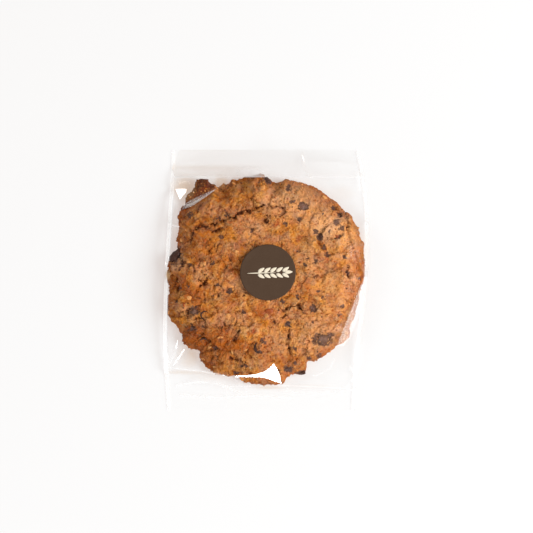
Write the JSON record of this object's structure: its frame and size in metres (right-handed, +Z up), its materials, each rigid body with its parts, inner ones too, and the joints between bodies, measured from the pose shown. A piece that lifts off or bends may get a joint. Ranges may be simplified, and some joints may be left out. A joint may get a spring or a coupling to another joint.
{
  "type": "ranger cookie in a clear bag",
  "caption": "Large craggy oat and chocolate cookie, sealed in a clear film bag with a folded flap and a round paper label on top.",
  "frame": {"origin": "on the resting face, under the middle of the bag's plan", "axes": "+Z up through the cookie, +Y towards the folded flap that closes the bag, +X towards the bag's right-hand side seam"},
  "size_m": [0.1189, 0.151, 0.0174],
  "materials": {
    "film": "clear glossy film with taut creases and a faint milky haze",
    "label": "matte dark brown paper with a fine grain",
    "crumb": "golden brown baked dough, rough and craggy, darker towards the rim",
    "chocolate": "dark chocolate, satin, with a faint bloom",
    "raisin": "wrinkled dark fruit, satin",
    "oats": "toasted oat flakes, matte"
  },
  "bodies": {
    "root": {"bag": "film", "label": "label"}
  },
  "joints": []
}
